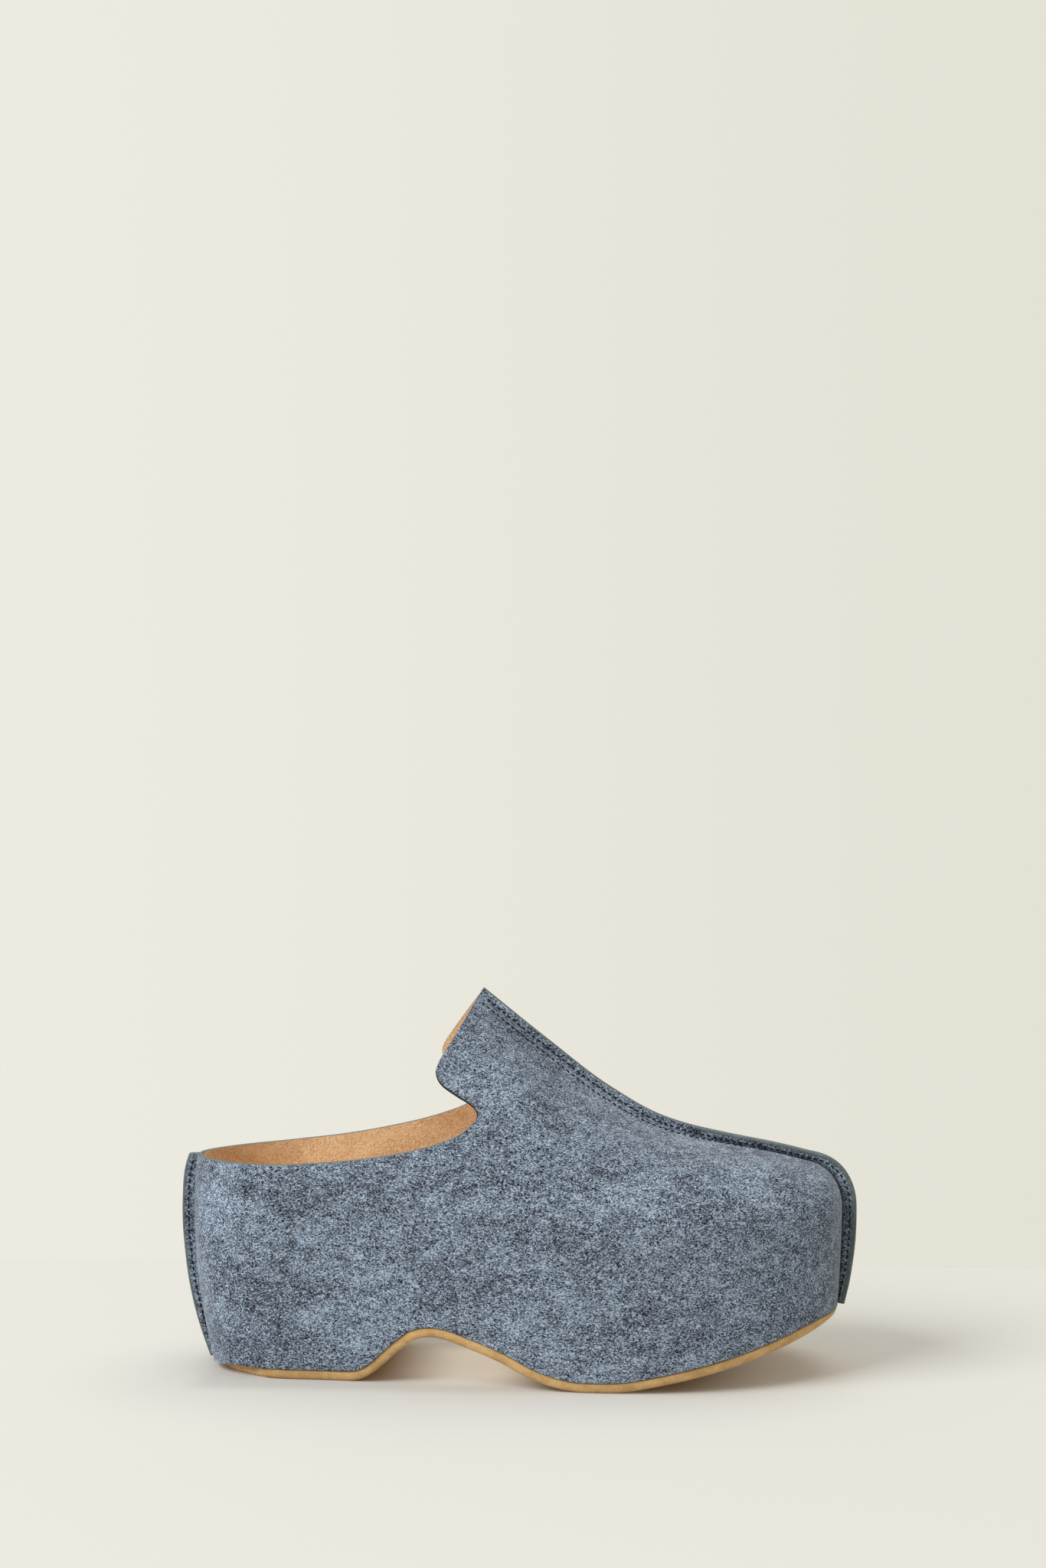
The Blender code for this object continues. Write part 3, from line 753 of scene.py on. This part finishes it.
def topline_cutter(finish):
    """The space over the collar and behind the tongue, as a slab across the shoe."""
    knots = np.array((COLLAR[0], *COLLAR, COLLAR[-1]))
    points = []
    for before, start, end, after in zip(knots, knots[1:], knots[2:], knots[3:]):
        leaving, arriving = (end - before) / 2, (after - start) / 2
        for step in range(TOPLINE_STEPS):
            points.append(hermite(step / TOPLINE_STEPS, start, leaving, end, arriving))
    points += [np.array(knot) for knot in (COLLAR[-1], TONGUE_EDGE_END)]
    points += [np.array((x, CUT_TOP)) for x in (TONGUE_EDGE_END.x, COLLAR[0].x)]
    tilt_at, turn = through(COLLAR_TILTS), math.radians(COLLAR_TURN_DEG)
    corners = []
    for y in (-CUT_HALF_WIDTH, CUT_HALF_WIDTH):
        for x, z in points:
            tilt = math.radians(tilt_at(x))
            across = y * math.cos(tilt) - z * math.sin(tilt)
            up = y * math.sin(tilt) + z * math.cos(tilt)
            ahead = x * math.cos(turn) - across * math.sin(turn)
            corners.append((ahead, x * math.sin(turn) + across * math.cos(turn), up))
    count = len(points)
    faces = [tuple(range(count)), tuple(range(count, 2 * count))]
    faces += [(i, (i + 1) % count, count + (i + 1) % count, count + i) for i in range(count)]
    return new_piece("topline_cutter", corners, faces, [finish])


def folded(side, grid):
    """A panel's skin with its listed troughs and ridges, which die out at seams and lower edge."""
    push = np.zeros(grid.shape[:2])
    for fold in FOLDS[side]:
        start, along = np.array((fold.x0, fold.z0)), np.array((fold.x1 - fold.x0, fold.z1 - fold.z0))
        offset = grid[:, :, [0, 2]] - start
        share = np.clip(offset @ along / (along @ along), 0.0, 1.0)
        away = np.linalg.norm(offset - share[:, :, None] * along, axis=2)
        push += fold.height * np.exp(-((away / fold.reach) ** 2))
    push *= eased((np.abs(grid[:, :, 1]) - SEAM_ROOT) / FOLD_SEAM_MARGIN)
    push *= eased((grid[:, :, 2] - grid[:, :1, 2]) / FOLD_EDGE_MARGIN)
    return grid + grid_normals(grid) * push[:, :, None]


def panel_grids(steps, wall_rows, roof_rows):
    """Points of the outer skin of both panels, by column and row."""
    grids = {}
    for side in SIDES:
        columns = [panel_column(side, place, wall_rows, roof_rows) for place in stations(steps)]
        grids[side] = folded(side, np.array(columns))
    return grids


def toe_shade(point):
    """Painted shade on a panel beside the crease of the toe's seam."""
    beside = math.exp(-(abs(point[1]) - SEAM_ROOT) / TOE_SHADE_REACH)
    return TOE_SHADE * beside * eased((point[0] - TOE_SHADE_START) / TOE_SHADE_LENGTH)


def panels_shell(name, finishes, outer_depth, inner_depth, skins, with_flange):
    """Both panels as one closed wall between two depths under their skins, with or without raised seams."""
    points, faces, slots, shades = [], [], [], []

    def add(point, shade=0.0):
        points.append(np.asarray(point, float))
        shades.append(shade)
        return len(points) - 1

    def face(corners, slot=0):
        faces.append(corners)
        slots.append(slot)

    # Outer and inner skins of both panels, and the cut edge between them at the bottom.
    grids, outer, inner = {}, {}, {}
    for side, grid in skins.items():
        normals = grid_normals(grid)
        grids[side] = grid - outer_depth * normals
        outer[side] = [[add(point, toe_shade(point)) for point in column] for column in grids[side]]
        inner[side] = [[add(point) for point in column] for column in grid - inner_depth * normals]
    columns, rows = grids["outer"].shape[:2]
    for skin in (outer, inner):
        for grid in skin.values():
            for i in range(columns - 1):
                for j in range(rows - 1):
                    face((grid[i][j], grid[i + 1][j], grid[i + 1][j + 1], grid[i][j + 1]))
    for side in SIDES:
        low, high = inner[side], outer[side]
        for i in range(columns - 1):
            face((high[i][0], high[i + 1][0], low[i + 1][0], low[i][0]))

    # Points across the seams, from the groove inside to the crown of the flange, if there is one.
    path = seam_path(columns, rows)
    spine = np.array([grids["outer"][i, j][[0, 2]] for i, j in path])
    profile, outward = seam_profile(spine)
    middle, crown = [], []
    flange = {side: [] for side in SIDES}
    for k, (i, j) in enumerate(path):
        x, z = spine[k] - GROOVE_SHARE * (inner_depth - outer_depth) * outward[k]
        middle.append(add((x, 0.0, z)))
        for side in SIDES:
            line = [outer[side][i][j]]
            if with_flange:
                raised = seam_points(side, spine[k], profile[k], outward[k])
                for point, (_, high) in zip(raised, flange_rows(profile[k])):
                    shaded = 1.0 - eased(high / (SHADE_SHARE * profile[k].height))
                    line.append(add(point, profile[k].shade * shaded))
            flange[side].append(line)
        high = profile[k].height if with_flange else 0.0
        x, z = spine[k] + high * outward[k]
        crown.append(add((x, -high * math.tan(math.radians(profile[k].lean_deg)), z)))

    # Faces along the seams, painted near the crown, and the seams' closed ends at toe and heel.
    last = len(flange["outer"][0]) - 1
    for k in range(len(path) - 1):
        on_instep = profile[k].distance > INSTEP_STARTS and profile[k].lean_deg < INSTEP_LEAN_DEG
        painted = last - (INSTEP_PAINT_ROWS if on_instep else DOME_ROWS)
        for side in SIDES:
            here, there = flange[side][k], flange[side][k + 1]
            for m in range(last):
                face((here[m], there[m], there[m + 1], here[m + 1]), int(m >= painted))
            face((here[last], there[last], crown[k + 1], crown[k]), int(with_flange))
            (i, j), (p, q) = path[k], path[k + 1]
            face((inner[side][i][j], inner[side][p][q], middle[k + 1], middle[k]))
    for k in (0, -1):
        a, b = flange["outer"][k], flange["inner"][k]
        i, j = path[k]
        for m in range(last):
            face((a[m], a[m + 1], b[m + 1], b[m]))
        face((a[last], crown[k], b[last]))
        face((a[0], b[0], inner["inner"][i][j], middle[k], inner["outer"][i][j]))
    piece = new_piece(name, points, faces, finishes)
    piece.data.polygons.foreach_set("material_index", slots)
    piece.data.attributes.new("seam_shade", "FLOAT", "POINT").data.foreach_set("value", shades)
    return piece


def cut_topline(piece, cutter):
    """Cuts the throat and collar out of a piece, and leaves the cut edge in the cutter's finish."""
    pick(piece)
    cut = piece.modifiers.new("topline", "BOOLEAN")
    cut.operation = "DIFFERENCE"
    cut.object = cutter
    cut.material_mode = "TRANSFER"
    bpy.ops.object.modifier_apply(modifier=cut.name)
    bpy.ops.object.shade_smooth_by_angle(angle=math.radians(SMOOTH_ANGLE_DEG))


felt, wire, shader = new_finish("heathered_felt", {
    "Sheen Weight": 0.4,
    "Sheen Roughness": 0.34,
    "Sheen Tint": (0.9, 0.93, 1.0, 1.0),
    "Specular IOR Level": 0.1,
})
fibre, cross, tuft, cloud = (wire.noise(strand.grain) for strand in (FIBRE, CROSS_FIBRE, TUFT, FELT_CLOUD))
heather = fibre * FIBRE.weight + cross * CROSS_FIBRE.weight + tuft * TUFT.weight + cloud * FELT_CLOUD.weight
colour = wire.blend(wire.between(heather, FELT_LIGHT_SPAN), FELT_MIDDLE, FELT_LIGHT)
colour = wire.blend(1 - wire.between(heather, FELT_DARK_SPAN), colour, FELT_DARK)
# Painted shade: the seam_shade attribute darkens the felt in the seams' creases and beside the toe's seam.
shade = wire.node("ShaderNodeAttribute", {"attribute_name": "seam_shade"}, {}, "Fac")
colour = wire.blend(shade, colour, FELT_PAINTED_SHADE)
height = fibre * FIBRE_BUMP_SHARE + cross * (1 - FIBRE_BUMP_SHARE)
set_look(wire, shader, colour, fibre, height, FELT_SURFACE)

paint, wire, shader = new_finish("edge_paint", {"Specular IOR Level": 0.4})
wear = wire.noise(WEAR)
colour = wire.blend(wire.between(wear, WEAR_SPAN), EDGE_PAINT, EDGE_PAINT_WORN)
set_look(wire, shader, colour, wear, wear, PAINT_SURFACE)

cutter = topline_cutter(paint)
skins = panel_grids(FELT_STEPS, WALL_ROWS, ROOF_ROWS)
upper = panels_shell("felt_upper", [felt, paint], 0.0, FELT_THICK, skins, True)
cut_topline(upper, cutter)
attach(upper, "root")
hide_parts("upper")

# Lining: tan suede glued to the inside of the felt before the panels are sewn, so its edges are cut and
# painted together with the felt's.
LINING_CLEARANCE = 0.03
LINING_DEPTH = FELT_THICK + LINING_CLEARANCE
LINING_STEPS = Steps(20, 50, 26)
LINING_WALL_ROWS, LINING_ROOF_ROWS = 16, 24

lining_skins = panel_grids(LINING_STEPS, LINING_WALL_ROWS, LINING_ROOF_ROWS)
lining = panels_shell("suede_lining", [suede], LINING_DEPTH, FELT_WALL, lining_skins, False)
cut_topline(lining, cutter)
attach(lining, "root")
bpy.data.objects.remove(cutter)

# Paint bead: edge paint that has run together under the lobes beside the throat. It lies as a thin line
# along the felt's outer edge, from the tip of each lobe down to the notch. Its near-black colour is partly
# painted shade, darker than the edge paint, for the shadow under the lobes.
BEAD_RADIUS, BEAD_END_SHARE = 0.42, 0.25
BEAD_FRONT, BEAD_LOW, BEAD_HIGH = -13.0, 105.0, 124.5
BEAD_PASSES = 3
BEAD_PAINT_AND_SHADE = (0.012, 0.014, 0.018, 1.0)
TUBE_SIDES = 6
ACROSS = (0.0, 1.0, 0.0)


def lobe_rim(mesh):
    """Neighbours of each corner of the felt's outer cut edge round the lobes."""
    owners = {}
    for polygon in mesh.polygons:
        for edge in polygon.edge_keys:
            owners.setdefault(edge, []).append(polygon)
    neighbours = {}
    for edge, pair in owners.items():
        cloth = [polygon for polygon in pair if polygon.material_index == 0]
        if len(pair) != 2 or len(cloth) != 1 or cloth[0].normal.y * cloth[0].center.y < 0:
            continue
        ends = [np.array(mesh.vertices[corner].co) / MM for corner in edge]
        if all(x < BEAD_FRONT and BEAD_LOW < z < BEAD_HIGH for x, _, z in ends):
            for here, there in (edge, edge[::-1]):
                neighbours.setdefault(here, []).append(there)
    return neighbours


def rim_lines(mesh, neighbours):
    """Smoothed lines along the rim, each walked from one loose end to the other."""
    lines, walked = [], set()
    for start in [corner for corner, joined in neighbours.items() if len(joined) == 1]:
        if start in walked:
            continue
        chain, onward = [], [start]
        while onward:
            chain.append(onward[0])
            walked.add(onward[0])
            onward = [corner for corner in neighbours[chain[-1]] if corner not in walked]
        line = np.array([mesh.vertices[corner].co for corner in chain]) / MM
        for _ in range(BEAD_PASSES):
            line[1:-1] = (line[:-2] + 2 * line[1:-1] + line[2:]) / 4
        lines.append(line)
    return lines


def tube_ring(centre, radius, aside, upright):
    """Points round a centre, in the plane of two directions."""
    turns = [2 * math.pi * turn / TUBE_SIDES for turn in range(TUBE_SIDES)]
    return [centre + radius * (math.cos(turn) * aside + math.sin(turn) * upright) for turn in turns]


def add_tube(points, faces, rings):
    """Adds a closed tube through rings of points to the points and faces of a mesh."""
    first = len(points)
    for ring in rings:
        points.extend(ring)
    top = len(points) - TUBE_SIDES
    for low in range(first, top, TUBE_SIDES):
        for turn in range(TUBE_SIDES):
            here, there = low + turn, low + (turn + 1) % TUBE_SIDES
            faces.append((here, there, there + TUBE_SIDES, here + TUBE_SIDES))
    for start in (first, top):
        faces.append(tuple(range(start, start + TUBE_SIDES)))


# The bead's near-black colour is edge paint darkened with painted shade for the shadow under the lobes.
bead_paint_and_shade, *_ = new_finish("edge_paint_and_painted_shade", {
    "Base Color": BEAD_PAINT_AND_SHADE,
    "Roughness": 0.6,
    "Specular IOR Level": 0.3,
})
points, faces = [], []
for line in rim_lines(upper.data, lobe_rim(upper.data)):
    tangents = np.gradient(line, axis=0)
    tangents /= np.linalg.norm(tangents, axis=1, keepdims=True)
    rings = []
    for k, (centre, along) in enumerate(zip(line, tangents)):
        aside = np.cross(along, ACROSS)
        aside /= np.linalg.norm(aside)
        swell = math.sin(math.pi * k / (len(line) - 1))
        radius = BEAD_RADIUS * (BEAD_END_SHARE + (1 - BEAD_END_SHARE) * swell)
        rings.append(tube_ring(centre, radius, aside, np.cross(aside, along)))
    add_tube(points, faces, rings)
bead = new_piece("shaded_paint_bead", points, faces, [bead_paint_and_shade])
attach(bead, "root")

# Stitching: two rows of dark blue thread through both flanges, sewn by machine after the panels are laid
# face to face. Each stitch is a short raised loop that pulls a little into the felt at its ends.
STITCH_PITCH, STITCH_LENGTH, THREAD_RADIUS = 2.6, 1.9, 0.4
STITCH_SINK, STITCH_RISE = 0.3, 0.1
FIRST_ROW, SECOND_ROW, SECOND_ROW_END = 3.7, 7.7, 92.0
HEEL_STITCHES_END = -80.0
BODY_REACH = 8
DOWN_STEP = 0.4
THREAD_BLUE = (0.007, 0.009, 0.015, 1.0)
THREAD_WORN = (0.02, 0.026, 0.04, 1.0)
TWIST = Grain(0.35, 2.0, 0.6)
TWIST_SPAN = (0.4, 0.7)
THREAD_SURFACE = Surface(0.6, 0.8, 0.08, 0.5)
StitchRing = namedtuple("StitchRing", "share radius")
STITCH_RINGS = (
    StitchRing(0.0, 0.45),
    StitchRing(0.18, 0.9),
    StitchRing(0.5, 1.0),
    StitchRing(0.82, 0.9),
    StitchRing(1.0, 0.45),
)


def seam_sections(side, grid):
    """The skin's line at each point of the seams, from the seam's edge down its face to the panel."""
    columns, rows = grid.shape[:2]
    path = seam_path(columns, rows)
    spine = np.array([grid[i, j][[0, 2]] for i, j in path])
    profile, outward = seam_profile(spine)
    sections = []
    for k, (i, j) in enumerate(path):
        if j == rows - 1 and 0 < i < columns - 1:
            onward = [grid[i, j - m] for m in range(BODY_REACH)]
        elif i == 0:
            onward = [grid[m, j] for m in range(BODY_REACH)]
        else:
            onward = [grid[i - m, j] for m in range(BODY_REACH)]
        raised = seam_points(side, spine[k], profile[k], outward[k])
        sections.append(np.array(raised[::-1] + onward))
    return sections


def point_along(line, lengths, length):
    """Point of a line at a length from its start."""
    return np.array([np.interp(length, lengths, line[:, axis]) for axis in range(3)])


def at_depth(section, depth):
    """Point of a section at a depth along the skin below the seam's edge, and the way down from there."""
    lengths = lengths_along(section)
    above = point_along(section, lengths, depth - DOWN_STEP)
    below = point_along(section, lengths, depth + DOWN_STEP)
    return point_along(section, lengths, depth), below - above


def below_topline(x, z):
    """Whether a place on a seam is under the collar or in front of the tongue's edge, with a margin."""
    if x < HEEL_STITCHES_END:
        return z < COLLAR[0].z - STITCH_PITCH
    lobe, tip = COLLAR[-1], TONGUE_EDGE_END
    along = (z - lobe.z) / (tip.z - lobe.z)
    return x > lobe.x + along * (tip.x - lobe.x) + STITCH_PITCH


def stitch_rings(side, start, end, down):
    """Rings of one stitch between two points of the skin, raised in its middle and sunk at its ends."""
    along = (end - start) / np.linalg.norm(end - start)
    down = down - along * (down @ along)
    down /= np.linalg.norm(down)
    out = np.cross(along, down)
    if out[1] * SIDES[side] < 0:
        out = -out
    rings = []
    for ring in STITCH_RINGS:
        lift = STITCH_RISE - (STITCH_RISE + STITCH_SINK) * (2 * ring.share - 1) ** 2
        centre = start + (end - start) * ring.share + out * lift
        rings.append(tube_ring(centre, THREAD_RADIUS * ring.radius, down, out))
    return rings


thread, wire, shader = new_finish("dark_blue_thread", {"Specular IOR Level": 0.2})
twist = wire.noise(TWIST)
colour = wire.blend(wire.between(twist, TWIST_SPAN), THREAD_BLUE, THREAD_WORN)
set_look(wire, shader, colour, twist, twist, THREAD_SURFACE)

points, faces = [], []
for side, grid in skins.items():
    sections = seam_sections(side, grid)
    for depth in (FIRST_ROW, SECOND_ROW):
        pairs = [at_depth(section, depth) for section in sections]
        line, downs = (np.array(half) for half in zip(*pairs))
        lengths = lengths_along(line)
        count = int((lengths[-1] - 2 * STITCH_PITCH) / STITCH_PITCH)
        for number in range(count):
            start = (number + 1) * STITCH_PITCH
            x, _, z = point_along(line, lengths, start + STITCH_LENGTH / 2)
            past_end = depth == SECOND_ROW and x > SECOND_ROW_END
            if past_end or not below_topline(x, z):
                continue
            ends = [point_along(line, lengths, place) for place in (start, start + STITCH_LENGTH)]
            down = point_along(downs, lengths, start)
            add_tube(points, faces, stitch_rings(side, *ends, down))
stitching = new_piece("seam_stitching", points, faces, [thread])
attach(stitching, "root")

# Floor: a plain pale board with a matt finish, laid flat under the shoe and ending about 15 cm behind it.
# Its faint glow stands for stray light, which is strongest under the arch and weakest under heel and ball.
FLOOR_PALE = (0.533, 0.529, 0.513, 1.0)
FLOOR_GLOW, FLOOR_GLOW_STRENGTH = (0.20, 0.18, 0.148, 1.0), 0.6
FLOOR_HALF_WIDTH, FLOOR_FRONT, FLOOR_BACK = 2.5, -2.0, 0.193
# A patch of glow fades in between two places at the heel, and out at the toe and at both sides.
Patch = namedtuple("Patch", "heel toe side glow")
UNDER_SHOE = Patch((-134.0, -118.0), (62.0, 110.0), (38.0, 52.0), (0.045, 0.02, 0.008, 1.0))
UNDER_ARCH = Patch((-58.0, -20.0), (-10.0, 22.0), (14.0, 46.0), (0.74, 0.69, 0.58, 1.0))

bpy.ops.object.select_all(action="DESELECT")
bpy.ops.mesh.primitive_plane_add(size=2 * FLOOR_HALF_WIDTH, location=(0.0, 0.0, 0.0))
floor = bpy.context.object
floor.name = "pale_floor"
for corner in floor.data.vertices:
    corner.co.y = FLOOR_BACK if corner.co.y > 0 else FLOOR_FRONT
pale, wire, shader = new_finish("pale_board", {
    "Base Color": FLOOR_PALE,
    "Roughness": 0.9,
    "Specular IOR Level": 0.1,
    "Emission Strength": FLOOR_GLOW_STRENGTH,
})
place = wire.object_place((1 / MM, 1 / MM, 1 / MM), UNTURNED)
along = wire.part(place, "X")
aside = wire.math("ABSOLUTE", wire.part(place, "Y"))
glow = FLOOR_GLOW
for patch in (UNDER_SHOE, UNDER_ARCH):
    share = wire.between(along, patch.heel)
    share *= 1 - wire.between(along, patch.toe)
    share *= 1 - wire.between(aside, patch.side)
    glow = wire.blend(share, glow, patch.glow)
wire.tree.links.new(glow.socket, shader.inputs["Emission Color"])
floor.data.materials.append(pale)

# Light: three soft lamps, a broad one high up to the left of the camera, a weaker one overhead and a faint
# one in front. The pale room round them is dimmer overhead and on the camera's side than behind the shoe.
Lamp = namedtuple("Lamp", "name place size power colour")
LAMPS = (
    Lamp("key", (-3.2, -2.1, 3.3), 2.9, 248.0, (0.98, 1.0, 1.0)),
    Lamp("top", (0.7, 0.9, 3.2), 2.6, 42.0, (1.0, 0.99, 0.94)),
    Lamp("fill", (0.6, -3.2, 1.6), 1.8, 4.0, (1.0, 0.97, 0.93)),
)
LAMP_AIM = (0.0, 0.0, 0.08)
PALE_LEFT = (0.85, 0.827, 0.75, 1.0)
PALE_RIGHT = (0.775, 0.753, 0.668, 1.0)
FRONT = (0.49, 0.475, 0.42, 1.0)
OVERHEAD = (0.41, 0.40, 0.355, 1.0)
LEFT_TO_RIGHT, FRONT_TO_BACK, WALL_TO_CEILING = (-0.3, 0.2), (0.1, 0.8), (0.36, 0.62)

for lamp in LAMPS:
    bpy.ops.object.light_add(type="AREA", location=lamp.place)
    light = bpy.context.object
    light.name = lamp.name
    light.data.size = lamp.size
    light.data.energy = lamp.power
    light.data.color = lamp.colour
    away = light.location - Vector(LAMP_AIM)
    light.rotation_euler = away.to_track_quat("Z", "Y").to_euler()
world = bpy.data.worlds.new("pale_room")
world.use_nodes = True
wire = Wire(world.node_tree)
toward = wire.node("ShaderNodeTexCoord", {}, {}, "Generated")
walls = wire.blend(wire.between(wire.part(toward, "X"), LEFT_TO_RIGHT), PALE_LEFT, PALE_RIGHT)
walls = wire.blend(wire.between(wire.part(toward, "Y"), FRONT_TO_BACK), FRONT, walls)
colour = wire.blend(wire.between(wire.part(toward, "Z"), WALL_TO_CEILING), walls, OVERHEAD)
world.node_tree.links.new(colour.socket, world.node_tree.nodes["Background"].inputs["Color"])
bpy.context.scene.world = world
bpy.context.scene.view_settings.view_transform = "Standard"

# Camera: level, 24 cm above the floor and 93 cm from the shoe, a little towards the toe from its middle.
# It is turned 3 degrees towards the heel, which gives the photograph's viewing angle.
CAMERA_PLACE = (0.05117, -0.92860, 0.23830)
CAMERA_LEVEL_DEG, CAMERA_TURN_DEG = 90.0, 3.0
PHOTO_HEIGHT_PX = 2048
FOCAL_PX = 2950
SENSOR_MM = 36.0

turns = (math.radians(CAMERA_LEVEL_DEG), 0.0, math.radians(CAMERA_TURN_DEG))
bpy.ops.object.camera_add(location=CAMERA_PLACE, rotation=turns)
camera = bpy.context.object
camera.data.sensor_width = SENSOR_MM
camera.data.lens = FOCAL_PX / PHOTO_HEIGHT_PX * SENSOR_MM
bpy.context.scene.camera = camera
